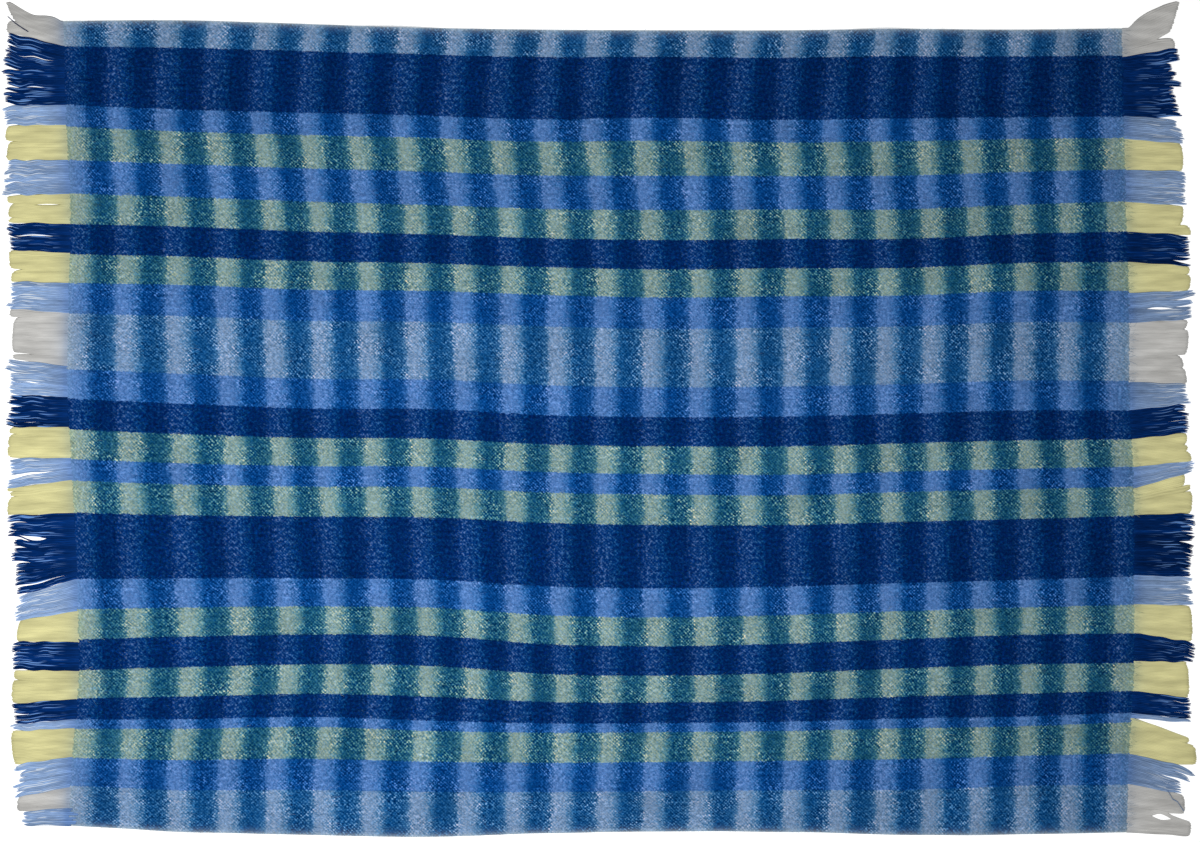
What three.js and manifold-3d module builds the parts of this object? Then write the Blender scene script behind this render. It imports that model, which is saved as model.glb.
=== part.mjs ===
// Throw blanket: a brushed plaid throw lying flat, its loose warp ends left as a fringe along both short edges.
// Millimetres. X runs along the warp, Y across it, and Z up from the floor that the throw lies on.
import * as THREE from 'three';
import { mergeVertices } from 'three/addons/utils/BufferGeometryUtils.js';
import Module from 'manifold-3d';

const wasm = await Module();
wasm.setup();

// Driving dimensions
const WOVEN_LENGTH = 1590;
const WOVEN_WIDTH = 1208;
const CLOTH_THICKNESS = 3;
const CLOTH_CENTRE_Y = -15; // the corner locks flare past the upper edge, so the cloth sits below the middle
const END_STRIP = 9; // the last picks of the weave, which hold the roots of the fringe
const PARTING = 0.3;
const CLOTH_CELL = 42;

// The fringe: locks lie on the floor, one yarn bundle high
const FRINGE_TOP = 631.5; // Y of the line that the lock tables are measured down from
const LOCK_PITCH = 10;
const LOCK_GAP = 1;
const LOCK_HEIGHT = 2.2;
const LOCK_SHOULDER = 0.22; // how far each side leans in, as a share of the lock's width
const TIP_SHARE = 0.72; // width left at a cut end
const TIP_UNEVENNESS = 2.5;
const ROOT_DEPTH = 5; // how far a lock reaches into its end strip
const ROOT_RISE = 0.5; // a root starts this far above the floor, inside the strip
const ROOT_CLEAR = 6; // by here the lock lies on the floor
const FULL_REACH = 93; // where a lock has swung all the way from its root to its tip's place
const GAP_OPENS = 0.55; // share of the length that neighbours run side by side before they part

const COLOURS = { woven: 0x2c5285, fringe: 0x8d9cb4 };

const table = (columns, rows) =>
  rows.map((row) => Object.fromEntries(columns.map((name, i) => [name, row[i]])));

// How far the long edges stray from straight, at places along the warp
const LONG_EDGES = table(['u', 'upper', 'lower'], [
  [-795, 10, 12],
  [-720, 11, 8],
  [-600, 10, 3],
  [-480, 6, -1],
  [-300, 0, -5],
  [-180, -2, -2],
  [-60, -3, 3],
  [60, -4, 5],
  [120, -4, 0],
  [240, -4, 4],
  [420, -2, -2],
  [540, -2, -2],
  [660, -3, 0],
  [795, -1, 2],
]);

// How far the two woven ends stray from straight, at places across the cloth
const SHORT_ENDS = table(['v', 'left', 'right'], [
  [-604, -6, -2],
  [-555, -6, -2],
  [-465, 3, 2],
  [-380, 10, 8],
  [-280, 10, 9],
  [-195, 6, 8],
  [-105, 3, 9],
  [-30, -6, 3],
  [136, -6, -1],
  [240, -3, 2],
  [325, 0, -3],
  [450, -8, -5],
  [560, -11, -10],
  [604, -12, -10],
]);

// Low ripples that run in from the long edges where they are drawn in
const RIPPLES = table(['u', 'v', 'halfLength', 'halfWidth', 'height'], [
  [-640, -604, 240, 75, 5],
  [-60, -604, 190, 70, 4],
  [250, -604, 260, 80, 5],
  [560, -604, 170, 65, 3],
  [-300, 604, 220, 80, 4],
  [420, 604, 180, 75, 4],
]);

// Groups of locks down each end. root is where the group's root ends below FRINGE_TOP, and the next one starts;
// tipFrom and tipTo say where its cut end lies, and reach how far that is from the middle of the throw.
const LOCK_COLUMNS = ['yarn', 'root', 'tipFrom', 'tipTo', 'reach'];

const LEFT_ROOT_TOP = 33;
const LEFT_LOCKS = table(LOCK_COLUMNS, [
  ['white', 61.5, 3, 22.5, 885],
  ['white', 69, 28, 45, 889],
  ['navy', 85.5, 46.5, 63, 887],
  ['navy', 108, 66, 99, 891],
  ['navy', 112.5, 106.5, 112.5, 896],
  ['navy', 132, 113.5, 127.5, 889],
  ['navy', 139.5, 132.5, 136, 891],
  ['navy', 157.5, 139.5, 155, 893],
  ['periwinkle', 187.5, 161, 187, 893],
  ['yellow', 211.5, 189, 210, 891],
  ['yellow', 240, 213, 240, 889],
  ['periwinkle', 274.5, 241, 273, 890],
  ['periwinkle', 291, 275.5, 292, 893],
  ['yellow', 304.5, 294, 304, 889],
  ['yellow', 327, 305.5, 325, 886],
  ['yellow', 336, 326.5, 333, 886],
  ['navy', 357, 334.5, 354, 888],
  ['navy', 379.5, 355.5, 373.5, 885],
  ['yellow', 405, 375, 400.5, 886],
  ['yellow', 424.5, 408, 421.5, 883],
  ['periwinkle', 445.5, 422.5, 442.5, 883],
  ['periwinkle', 469.5, 444, 462, 886],
  ['white', 478.5, 463, 474, 885],
  ['white', 532.5, 478.5, 528, 881],
  ['white', 549, 532.5, 537, 880],
  ['periwinkle', 558, 538, 545, 886],
  ['periwinkle', 567, 547.5, 555, 889],
  ['periwinkle', 595.5, 558, 589.5, 885],
  ['navy', 610.5, 592, 606, 886],
  ['navy', 621, 610.5, 618, 884],
  ['navy', 640.5, 619.5, 640, 889],
  ['yellow', 652.5, 641.5, 649.5, 885],
  ['yellow', 670.5, 652.5, 669, 887],
  ['yellow', 687, 670, 686, 888],
  ['periwinkle', 703.5, 688.5, 712.5, 884],
  ['periwinkle', 720, 718.5, 732, 886],
  ['yellow', 729, 733, 738, 889],
  ['yellow', 735, 740, 745, 884],
  ['yellow', 769.5, 747, 772.5, 888],
  ['navy', 781.5, 774, 784, 889],
  ['navy', 811.5, 785.5, 805.5, 887],
  ['navy', 822, 811, 820.5, 879],
  ['navy', 840, 823.5, 843, 880],
  ['navy', 859.5, 847.5, 882, 876],
  ['navy', 868.5, 885, 895.5, 873],
  ['periwinkle', 885, 897, 907, 868],
  ['periwinkle', 916.5, 908.5, 931.5, 877],
  ['yellow', 963, 933, 961.5, 874],
  ['navy', 1006.5, 963, 1004, 880],
  ['yellow', 1020, 1006, 1019, 879],
  ['yellow', 1048.5, 1021, 1054.5, 882],
  ['navy', 1065, 1056, 1071, 881],
  ['navy', 1078.5, 1073.5, 1086, 877],
  ['periwinkle', 1092, 1087.5, 1096, 883],
  ['yellow', 1135.5, 1097.5, 1147.5, 882],
  ['periwinkle', 1144.5, 1149, 1156.5, 876],
  ['periwinkle', 1161, 1162.5, 1176, 871],
  ['periwinkle', 1173, 1179, 1189.5, 877],
  ['periwinkle', 1180.5, 1194, 1198.5, 875],
  ['white', 1212, 1200, 1218, 874],
  ['periwinkle', 1239, 1219.5, 1237.5, 866],
]);

const RIGHT_ROOT_TOP = 43.5;
const RIGHT_LOCKS = table(LOCK_COLUMNS, [
  ['white', 75, 2.5, 34.5, 863],
  ['white', 85.5, 57, 69, 862],
  ['navy', 99, 70, 88, 867],
  ['navy', 109.5, 100.5, 106.5, 859],
  ['navy', 121.5, 108, 120.5, 862],
  ['navy', 130.5, 121.5, 130, 871],
  ['navy', 142.5, 132, 141, 860],
  ['navy', 156, 142.5, 154.5, 865],
  ['navy', 162, 156.5, 160.5, 866],
  ['navy', 169.5, 162, 167.5, 868],
  ['navy', 174, 168.5, 174, 869],
  ['periwinkle', 184.5, 184.5, 192, 865],
  ['periwinkle', 208.5, 194, 216, 874],
  ['yellow', 255, 217, 256.5, 874],
  ['periwinkle', 303, 257.5, 307, 877],
  ['yellow', 337.5, 312, 337.5, 874],
  ['yellow', 348, 339, 352.5, 885],
  ['navy', 384, 353.5, 383.5, 882],
  ['navy', 388.5, 385.5, 388.5, 885],
  ['navy', 393, 395.5, 399, 886],
  ['yellow', 411, 400, 411, 884],
  ['yellow', 439.5, 412.5, 435, 885],
  ['periwinkle', 454.5, 436, 445.5, 892],
  ['periwinkle', 462, 450, 457, 886],
  ['periwinkle', 484.5, 460.5, 478, 886],
  ['white', 496.5, 479, 493.5, 880],
  ['white', 534, 494.5, 529.5, 882],
  ['white', 550.5, 536.5, 550, 874],
  ['white', 573, 551.5, 576, 879],
  ['periwinkle', 591, 577, 589, 881],
  ['periwinkle', 615, 591, 604.5, 882],
  ['navy', 624, 605.5, 615, 878],
  ['navy', 658.5, 617.5, 647.5, 883],
  ['yellow', 675, 648.5, 664.5, 880],
  ['yellow', 684, 667, 675, 881],
  ['yellow', 700.5, 676, 690, 886],
  ['periwinkle', 732, 691, 705, 889],
  ['yellow', 745.5, 706, 720, 877],
  ['yellow', 751.5, 726, 731, 885],
  ['yellow', 772.5, 736.5, 769.5, 888],
  ['navy', 780, 770.5, 778, 888],
  ['navy', 798, 779.5, 796, 891],
  ['navy', 802.5, 798, 801, 889],
  ['navy', 811.5, 802.5, 810, 886],
  ['navy', 855, 817.5, 856, 887],
  ['navy', 862.5, 857.5, 865.5, 886],
  ['periwinkle', 876, 866.5, 876, 886],
  ['periwinkle', 891, 879, 890, 887],
  ['periwinkle', 906, 894, 906, 885],
  ['yellow', 949.5, 912, 964.5, 888],
  ['navy', 984, 965.5, 987, 891],
  ['navy', 991.5, 988.5, 993, 888],
  ['yellow', 1036.5, 994, 1048, 883],
  ['navy', 1069.5, 1049, 1079.5, 885],
  ['periwinkle', 1077, 1080.5, 1085, 886],
  ['yellow', 1090.5, 1110, 1117.5, 883],
  ['yellow', 1131, 1119, 1147, 894],
  ['periwinkle', 1138.5, 1156.5, 1164, 888],
  ['periwinkle', 1144.5, 1167, 1174.5, 882],
  ['periwinkle', 1176, 1180.5, 1194, 870],
  ['white', 1212, 1195, 1219.5, 877],
  ['white', 1248, 1233, 1254, 886],
]);

// A smooth line through one column of a table, or through two
function smoothLine(rows, at, ...columns) {
  const values = rows.flatMap((row) => columns.map((name) => row[name]));
  return new THREE.CubicInterpolant(rows.map((row) => row[at]), values, columns.length);
}

const longEdges = smoothLine(LONG_EDGES, 'u', 'upper', 'lower');
const shortEnds = smoothLine(SHORT_ENDS, 'v', 'left', 'right');

function rippleLift(u, v) {
  let lift = 0;
  for (const ripple of RIPPLES) {
    const across = Math.min(1, Math.abs(u - ripple.u) / ripple.halfWidth);
    const along = Math.min(1, Math.abs(v - ripple.v) / ripple.halfLength);
    const crest = (1 + Math.cos(Math.PI * across)) / 2;
    const run = (1 + Math.cos(Math.PI * along)) / 2;
    lift += ripple.height * crest * run;
  }
  return lift;
}

// Where a point of the woven cloth lies: u along the warp and v across it, both from the middle of the cloth
function lay(u, v) {
  const [left, right] = shortEnds.evaluate(v);
  const [upper, lower] = longEdges.evaluate(u);
  const x = u + THREE.MathUtils.lerp(left, right, u / WOVEN_LENGTH + 0.5);
  const y = v + CLOTH_CENTRE_Y + THREE.MathUtils.lerp(lower, upper, v / WOVEN_WIDTH + 0.5);
  return new THREE.Vector3(x, y, rippleLift(u, v));
}

function closedGeometry(geometry) {
  geometry.deleteAttribute('normal');
  geometry.deleteAttribute('uv');
  return mergeVertices(geometry);
}

// A stretch of the woven cloth between two places along the warp, laid down on the floor
function wovenStretch(fromU, toU) {
  const length = toU - fromU;
  const cells = [length, WOVEN_WIDTH].map((size) => Math.max(1, Math.round(size / CLOTH_CELL)));
  const geometry = new THREE.BoxGeometry(length, WOVEN_WIDTH, CLOTH_THICKNESS, ...cells, 1);
  geometry.translate((fromU + toU) / 2, 0, CLOTH_THICKNESS / 2);
  const points = geometry.attributes.position;
  for (let i = 0; i < points.count; i += 1) {
    const place = lay(points.getX(i), points.getY(i));
    points.setXYZ(i, place.x, place.y, place.z + points.getZ(i));
  }
  return closedGeometry(geometry);
}

// A solid through four-sided sections, each a list of four points, closed at both ends
function loft(sections) {
  const geometry = new THREE.BufferGeometry().setFromPoints(sections.flat());
  const triangles = [];
  const quad = (a, b, c, d) => triangles.push(a, b, c, a, c, d);
  for (let s = 0; s + 1 < sections.length; s += 1) {
    for (let side = 0; side < 4; side += 1) {
      const next = (side + 1) % 4;
      quad(4 * s + side, 4 * s + next, 4 * s + 4 + next, 4 * s + 4 + side);
    }
  }
  const last = 4 * (sections.length - 1);
  quad(3, 2, 1, 0);
  quad(last, last + 1, last + 2, last + 3);
  geometry.setIndex(triangles);
  return geometry;
}

function toSolid(geometry) {
  const vertProperties = Float32Array.from(geometry.attributes.position.array);
  const triVerts = Uint32Array.from(geometry.index.array);
  return new wasm.Manifold(new wasm.Mesh({ numProp: 3, vertProperties, triVerts }));
}

function fromSolid(solid) {
  const mesh = solid.getMesh();
  const geometry = new THREE.BufferGeometry();
  geometry.setAttribute('position', new THREE.BufferAttribute(Float32Array.from(mesh.vertProperties), 3));
  geometry.setIndex(Array.from(mesh.triVerts));
  return geometry;
}

// The lines that part neighbouring groups: each starts where two roots meet and opens towards the tips
function partingLines(groups, rootTop) {
  const lines = [{ root: rootTop, tip: groups[0].tipFrom, gap: 0 }];
  groups.forEach((group, i) => {
    const next = groups[i + 1];
    const tip = next ? (group.tipTo + next.tipFrom) / 2 : group.tipTo;
    const gap = next ? next.tipFrom - group.tipTo : 0;
    lines.push({ root: group.root, tip, gap });
  });
  return lines;
}

function lineAt(line, swing, side) {
  const opened = Math.max(0, (swing - GAP_OPENS) / (1 - GAP_OPENS));
  return THREE.MathUtils.lerp(line.root, line.tip, swing) + side * opened * line.gap / 2;
}

// One lock, from inside its end strip out to its tip. share says which part of its group it takes.
function lockSolid(upper, lower, share, rootX, tipX) {
  const out = Math.sign(tipX - rootX);
  const length = Math.abs(tipX - rootX);
  const stations = [-ROOT_DEPTH, ROOT_CLEAR, length * 0.55, length];
  const sections = stations.map((distance, i) => {
    const swing = Math.max(0, distance / FULL_REACH);
    const top = lineAt(upper, swing, 1);
    const bottom = lineAt(lower, swing, -1);
    const middle = FRINGE_TOP - THREE.MathUtils.lerp(top, bottom, (share.from + share.to) / 2);
    const room = (bottom - top) * (share.to - share.from);
    const isTip = i === stations.length - 1;
    const half = Math.max(room - LOCK_GAP, room * 0.5) / 2 * (isTip ? TIP_SHARE : 1);
    const shoulder = half * (1 - 2 * LOCK_SHOULDER);
    const base = distance < 0 ? ROOT_RISE : 0;
    const crest = base + LOCK_HEIGHT * (isTip ? TIP_SHARE : 1);
    const x = rootX + out * distance;
    const ring = [[-half, base], [half, base], [shoulder, crest], [-shoulder, crest]];
    const points = ring.map(([y, z]) => new THREE.Vector3(x, middle + y, z));
    return out > 0 ? points : points.reverse();
  });
  return toSolid(loft(sections));
}

// A fringe: the strip at one woven end, with every lock of that end fused into it by its root
function fringeGeometry(end, groups, rootTop) {
  const outerU = end * WOVEN_LENGTH / 2;
  const innerU = outerU - end * END_STRIP;
  const lines = partingLines(groups, rootTop);
  let fringe = toSolid(wovenStretch(Math.min(innerU, outerU), Math.max(innerU, outerU)));
  let count = 0;
  groups.forEach((group, i) => {
    const width = lines[i + 1].root - lines[i].root;
    const locks = Math.max(1, Math.round(width / LOCK_PITCH));
    for (let lock = 0; lock < locks; lock += 1) {
      const share = { from: lock / locks, to: (lock + 1) / locks };
      const down = lines[i].root + width * (lock + 0.5) / locks;
      const rootX = lay(outerU, FRINGE_TOP - down - CLOTH_CENTRE_Y).x;
      const uneven = TIP_UNEVENNESS * Math.sin(count * 2.4);
      fringe = fringe.add(lockSolid(lines[i], lines[i + 1], share, rootX, end * (group.reach + uneven)));
      count += 1;
    }
  });
  return fromSolid(fringe);
}

function subPart(name, geometry, color) {
  const mesh = new THREE.Mesh(geometry, new THREE.MeshStandardMaterial({ color, roughness: 0.95, metalness: 0 }));
  mesh.name = name;
  return mesh;
}

const clothEnd = WOVEN_LENGTH / 2 - END_STRIP - PARTING;
const blanket = new THREE.Group();
blanket.add(
  subPart('blanket_cloth', wovenStretch(-clothEnd, clothEnd), COLOURS.woven),
  subPart('fringe_left', fringeGeometry(-1, LEFT_LOCKS, LEFT_ROOT_TOP), COLOURS.fringe),
  subPart('fringe_right', fringeGeometry(1, RIGHT_LOCKS, RIGHT_ROOT_TOP), COLOURS.fringe),
);

export default blanket;
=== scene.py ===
"""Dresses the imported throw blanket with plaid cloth, its nap and fringes of warp yarn, on a pale floor."""

import math
from typing import NamedTuple

import bpy
import numpy as np
from bpy.props import FloatProperty, FloatVectorProperty, IntProperty, PointerProperty
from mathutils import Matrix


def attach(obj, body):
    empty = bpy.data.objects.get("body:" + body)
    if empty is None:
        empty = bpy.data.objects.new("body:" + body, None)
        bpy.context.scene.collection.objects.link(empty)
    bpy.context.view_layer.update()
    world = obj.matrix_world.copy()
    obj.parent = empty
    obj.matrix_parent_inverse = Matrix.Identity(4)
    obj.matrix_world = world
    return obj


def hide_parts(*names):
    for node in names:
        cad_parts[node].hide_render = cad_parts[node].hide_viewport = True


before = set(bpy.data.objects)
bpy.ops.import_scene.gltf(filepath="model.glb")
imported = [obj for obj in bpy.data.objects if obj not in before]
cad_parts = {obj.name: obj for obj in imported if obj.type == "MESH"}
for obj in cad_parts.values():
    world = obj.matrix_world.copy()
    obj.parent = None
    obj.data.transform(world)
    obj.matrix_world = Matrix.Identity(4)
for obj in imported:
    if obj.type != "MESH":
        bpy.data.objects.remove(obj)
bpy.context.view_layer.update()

bl_info = {
    "name": "Plaid Throw",
    "version": (1, 0, 0),
    "blender": (4, 5, 0),
    "location": "3D View > Sidebar > Throw",
    "description": "Weaves, fringes and brushes a plaid throw laid out on a floor",
    "category": "Object",
}

MM = 0.001
BODY = "root"

# The camera hangs straight above the throw and takes in this much of the floor
VIEW_WIDTH = 1.800
LENS_MM = 85.0
SENSOR_MM = 36.0
CLIP_END = 100.0

# The light: white from all round, and one softbox above the throw, left of its middle
FLOOR_SIZE = 40.0
BACKDROP_STRENGTH = 0.32
SOFTBOX_PLACE = (-0.37, -0.21, 1.65)
SOFTBOX_SIZE = (1.4, 0.4)
SOFTBOX_WATTS = 30.0

# The sett: warp bands from the upper edge to the lower one, with their widths in mm
SETT = (
    ("white", 39.0), ("navy", 91.0), ("periwinkle", 33.5), ("yellow", 49.5), ("periwinkle", 49.5),
    ("yellow", 46.5), ("navy", 43.5), ("yellow", 43.5), ("periwinkle", 46.5), ("white", 87.0),
    ("periwinkle", 45.0), ("navy", 45.0), ("yellow", 41.5), ("periwinkle", 32.0), ("yellow", 45.0),
    ("navy", 91.5), ("periwinkle", 42.0), ("yellow", 42.5), ("navy", 44.0), ("yellow", 44.0),
    ("navy", 33.0), ("periwinkle", 13.5), ("yellow", 45.0), ("periwinkle", 45.0), ("white", 69.5),
)

# The weft starts and ends with a light stripe; one light and one dark stripe make a repeat
LIGHT_STRIPE = 36.6
DARK_STRIPE = 34.0

# How dense the dark weft is across one repeat, from the crisp left edge of a light stripe: place, density
WEFT_DENSITY = (
    (0.00, 0.41), (0.03, 0.14), (0.07, 0.03), (0.13, 0.00), (0.22, 0.01), (0.30, 0.06),
    (0.37, 0.16), (0.43, 0.28), (0.48, 0.48), (0.53, 0.79), (0.59, 1.03), (0.66, 1.06),
    (0.76, 0.98), (0.86, 0.88), (0.95, 0.66), (1.00, 0.41),
)
YELLOW_LAG = 0.16  # repeats by which stripes lie further along on a warp with one unit more red than blue
WANDER = 0.010  # metres over which stripes wander; the first one starts half of that further in

# How strongly single threads stand out across one repeat: place, contrast
SPECKLE_CONTRAST = (
    (0.00, 1.10), (0.05, 0.55), (0.10, 0.36), (0.20, 0.32), (0.30, 0.41), (0.38, 0.62), (0.46, 0.98),
    (0.54, 1.30), (0.64, 1.45), (0.76, 1.48), (0.88, 1.40), (0.96, 1.20), (1.00, 1.10),
)
# Painted shade of the weave's relief: warp that is up is painted lighter, weft that is up darker
PAINTED_RELIEF_SHADE = (0.33, 0.62)  # how much lighter the warp looks where it is up: always, and by unit of contrast
RED_LOSS = 0.015  # red that goes for each part of blue, as deep blues have none left

# What light and dark weft let through of the warp's colour, and how far past those two the weft's density
# goes where single threads stand out; all colours here are linear
LIGHT_TINT = (0.279, 0.442, 0.680)
DARK_TINT = (0.0112, 0.088, 0.262)
THINNEST = -0.8
DENSEST = 1.9

# What light and dark weft add of their own, from where few of their hairs show to where many do
LIGHT_FEW_HAIRS = (0.0003, 0.0052, 0.028)
LIGHT_MANY_HAIRS = (0.0920, 0.1380, 0.262)
DARK_FEW_HAIRS = (0.0003, 0.0056, 0.030)
DARK_MANY_HAIRS = (0.0026, 0.0290, 0.113)

# How far the hairs are those of the light weft across one repeat, red, green and blue apart: place, shares.
# They are lavender at the crisp edge and turn blue before they fade.
HAIR_FADE = (
    (0.00, (0.45, 0.40, 0.36)), (0.04, (0.70, 0.63, 0.57)), (0.08, (0.92, 0.86, 0.82)),
    (0.14, (1.00, 1.00, 1.00)), (0.20, (0.93, 0.98, 0.98)), (0.27, (0.74, 0.88, 0.88)),
    (0.35, (0.49, 0.75, 0.75)), (0.42, (0.32, 0.63, 0.66)), (0.48, (0.16, 0.43, 0.44)),
    (0.54, (0.06, 0.24, 0.28)), (0.60, (0.01, 0.08, 0.11)), (0.66, (0.00, 0.02, 0.03)),
    (0.84, (0.05, 0.04, 0.00)), (0.92, (0.14, 0.12, 0.06)), (0.97, (0.28, 0.26, 0.20)),
    (1.00, (0.45, 0.40, 0.36)),
)

# How much of the warp shows bare at the cloth's very ends and selvedges, and how far in that fades, in mm
BARE = 0.50
BARE_TINT = (1.0, 1.16, 1.20)  # the weft still tinges it
END_FADE = 8.5
SELVEDGE_FADE = 3.2

# Where the weave lies, in mm of drift from a true grid. BOW moves threads up the cloth and PULL along it.
BOW_ACROSS = (-604, -535, -445, -355, -226, -89, 34, 205, 342, 474, 604)
BOW = {
    -795: (12, 3, -1, -3, 4, 15, 20, 14, 16, 17, 10),
    -630: (3, -3, -1, 2, 5, 9, 12, 11, 11, 10, 11),
    -450: (-2, -3, 2, 6, 5, 6, 5, 4, 4, 5, 6),
    -270: (-5, -6, -4, 3, 3, 5, 4, 2, -1, 1, 0),
    -90: (1, -6, -7, -9, -7, -3, -5, -4, -7, -5, -3),
    90: (3, -5, -6, -11, -10, -6, -8, -8, -9, -3, -4),
    270: (3, -3, -4, -7, -7, -7, -7, -6, -8, -6, -4),
    450: (-2, -3, 0, 0, -2, -2, -3, -5, -8, -4, -2),
    630: (-1, 3, 3, 6, 3, 2, 2, 2, -1, -2, -3),
    795: (2, 5, 9, 8, 8, 6, 2, 2, 4, -1, -1),
}
PULL_ALONG = (-795, -740, -590, -370, -148, 0, 220, 400, 590, 730, 795)
PULL = {
    -604: (-6, 0, 8, 11, 16, 10, 9, 5, 4, 1, -2),
    -466: (3, 2, 11, 14, 18, 12, 11, 7, 6, 2, 2),
    -384: (10, 10, 23, 24, 21, 13, 16, 12, 9, 5, 8),
    -254: (9, 6, 24, 24, 17, 12, 16, 13, 10, 8, 9),
    -84: (2, -1, 16, 14, 12, 8, 12, 12, 8, 8, 8),
    44: (-6, -4, 11, 10, 11, 9, 10, 8, 3, -1, 2),
    208: (-4, -5, 4, 6, 8, 9, 9, 8, 3, -2, 1),
    350: (-2, -5, -1, 0, 2, 2, 5, 3, -4, -5, -4),
    459: (-8, -14, -13, -12, -11, -9, -2, -4, -11, -9, -6),
    604: (-12, -15, -7, -4, 0, -2, 10, 5, -4, -6, -10),
}
CLOTH_CENTRE_Y = -14.5

# The twill: how far apart its lines are along a thread, in metres, how strongly falling and rising ones show,
# what share of that shows in the weft's hairs, and the specks that hairs break it up into
TWILL_PITCH = 0.0055
FALLING_LINES, RISING_LINES = 0.085, 0.055
HAIR_LINES = 0.6
SPECKS = {"Scale": 1 / 0.0046, "Detail": 2.0, "Roughness": 0.65}

# The sheet, in mm: sizes and heights of its lumps, how far in from the ends they reach their full height, how
# much lower the weave lies at its ends and over what length, and how far its underside stays off the floor
LUMPS = ((22.0, 0.35), (9.0, 0.20))
LUMPS_START = 30.0
END_DROP = 0.5
END_DROP_LENGTH = 10.0
FLOOR_GAP = 0.6

# The nap's fibres: spread of their turn off the warp, in radians, and of their bend, as a share of their
# length; least and greatest length and lift, as shares of the set ones, half width in mm, height of the tip,
# as a share of the lift, and tone; how deep roots lie in the weave, in mm, and how flat fibres are
NAP_PIECES = 3
NAP_SEED = 100
NAP_TURN = 0.3
NAP_BEND = 0.10
NAP_LENGTHS = (0.55, 1.25)
NAP_LIFTS = (0.3, 1.4)
NAP_HALF_WIDTHS = (0.10, 0.18)
NAP_TIPS = (-0.4, 0.9)
NAP_TONES = (0.1, 0.9)
NAP_ROOT = 0.3
NAP_FLATNESS = 0.35

# Low ripples that run in from the long edges, in mm: u, v, half length, half width, height
RIPPLES = (
    (-640, -604, 240, 75, 5),
    (-60, -604, 190, 70, 4),
    (250, -604, 260, 80, 5),
    (560, -604, 170, 65, 3),
    (-300, 604, 220, 80, 4),
    (420, 604, 180, 75, 4),
)

# Groups of fringe yarn down each end, in mm: dye, end of the root and of the tip's span below FRINGE_TOP,
# and how far the tip reaches from the middle. Each root starts where the last one ended.
FRINGE_TOP = 631.5
FULL_REACH = 93.0
LEFT_ROOT_TOP = 33.0
LEFT_LOCKS = (
    ("white", 58.5, 3, 22.5, 885),
    ("white", 69, 27, 45, 889),
    ("navy", 85.5, 46.5, 63, 887),
    ("navy", 108, 66, 99, 891),
    ("navy", 112.5, 106.5, 112.5, 896),
    ("navy", 132, 113.5, 127.5, 889),
    ("navy", 139.5, 132.5, 136, 891),
    ("navy", 157.5, 139.5, 155, 893),
    ("periwinkle", 187.5, 161, 187, 893),
    ("yellow", 211.5, 189, 210, 891),
    ("yellow", 240, 213, 240, 889),
    ("periwinkle", 274.5, 241, 273, 890),
    ("periwinkle", 291, 275.5, 292, 893),
    ("yellow", 304.5, 294, 304, 889),
    ("yellow", 327, 305.5, 325, 886),
    ("yellow", 336, 326.5, 333, 886),
    ("navy", 357, 334.5, 354, 888),
    ("navy", 379.5, 355.5, 373.5, 885),
    ("yellow", 405, 375, 400.5, 886),
    ("yellow", 424.5, 408, 421.5, 883),
    ("periwinkle", 445.5, 422.5, 442.5, 883),
    ("periwinkle", 469.5, 444, 462, 886),
    ("white", 478.5, 463, 474, 885),
    ("white", 532.5, 478.5, 528, 881),
    ("white", 549, 532.5, 537, 880),
    ("periwinkle", 558, 538, 545, 886),
    ("periwinkle", 567, 547.5, 555, 889),
    ("periwinkle", 595.5, 558, 589.5, 885),
    ("navy", 610.5, 592, 606, 886),
    ("navy", 621, 610.5, 618, 884),
    ("navy", 640.5, 619.5, 640, 889),
    ("yellow", 652.5, 641.5, 649.5, 885),
    ("yellow", 670.5, 652.5, 669, 887),
    ("yellow", 687, 670, 686, 888),
    ("periwinkle", 703.5, 688.5, 712.5, 884),
    ("periwinkle", 720, 718.5, 732, 886),
    ("yellow", 729, 733, 738, 889),
    ("yellow", 735, 740, 745, 884),
    ("yellow", 769.5, 747, 772.5, 888),
    ("navy", 781.5, 774, 784, 889),
    ("navy", 811.5, 785.5, 805.5, 887),
    ("navy", 822, 811, 820.5, 879),
    ("navy", 840, 823.5, 843, 880),
    ("navy", 859.5, 847.5, 882, 876),
    ("navy", 868.5, 885, 895.5, 873),
    ("periwinkle", 885, 897, 907, 868),
    ("periwinkle", 916.5, 908.5, 931.5, 877),
    ("yellow", 963, 933, 961.5, 874),
    ("navy", 1006.5, 963, 1004, 880),
    ("yellow", 1020, 1006, 1019, 879),
    ("yellow", 1048.5, 1021, 1054.5, 882),
    ("navy", 1065, 1056, 1071, 881),
    ("navy", 1078.5, 1073.5, 1086, 877),
    ("periwinkle", 1092, 1087.5, 1096, 883),
    ("yellow", 1135.5, 1097.5, 1147.5, 882),
    ("periwinkle", 1144.5, 1149, 1156.5, 876),
    ("periwinkle", 1161, 1162.5, 1176, 871),
    ("periwinkle", 1173, 1179, 1189.5, 877),
    ("periwinkle", 1180.5, 1194, 1198.5, 875),
    ("white", 1212, 1200, 1218, 874),
    ("periwinkle", 1239, 1219.5, 1237.5, 866),
)
RIGHT_ROOT_TOP = 43.5
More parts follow.
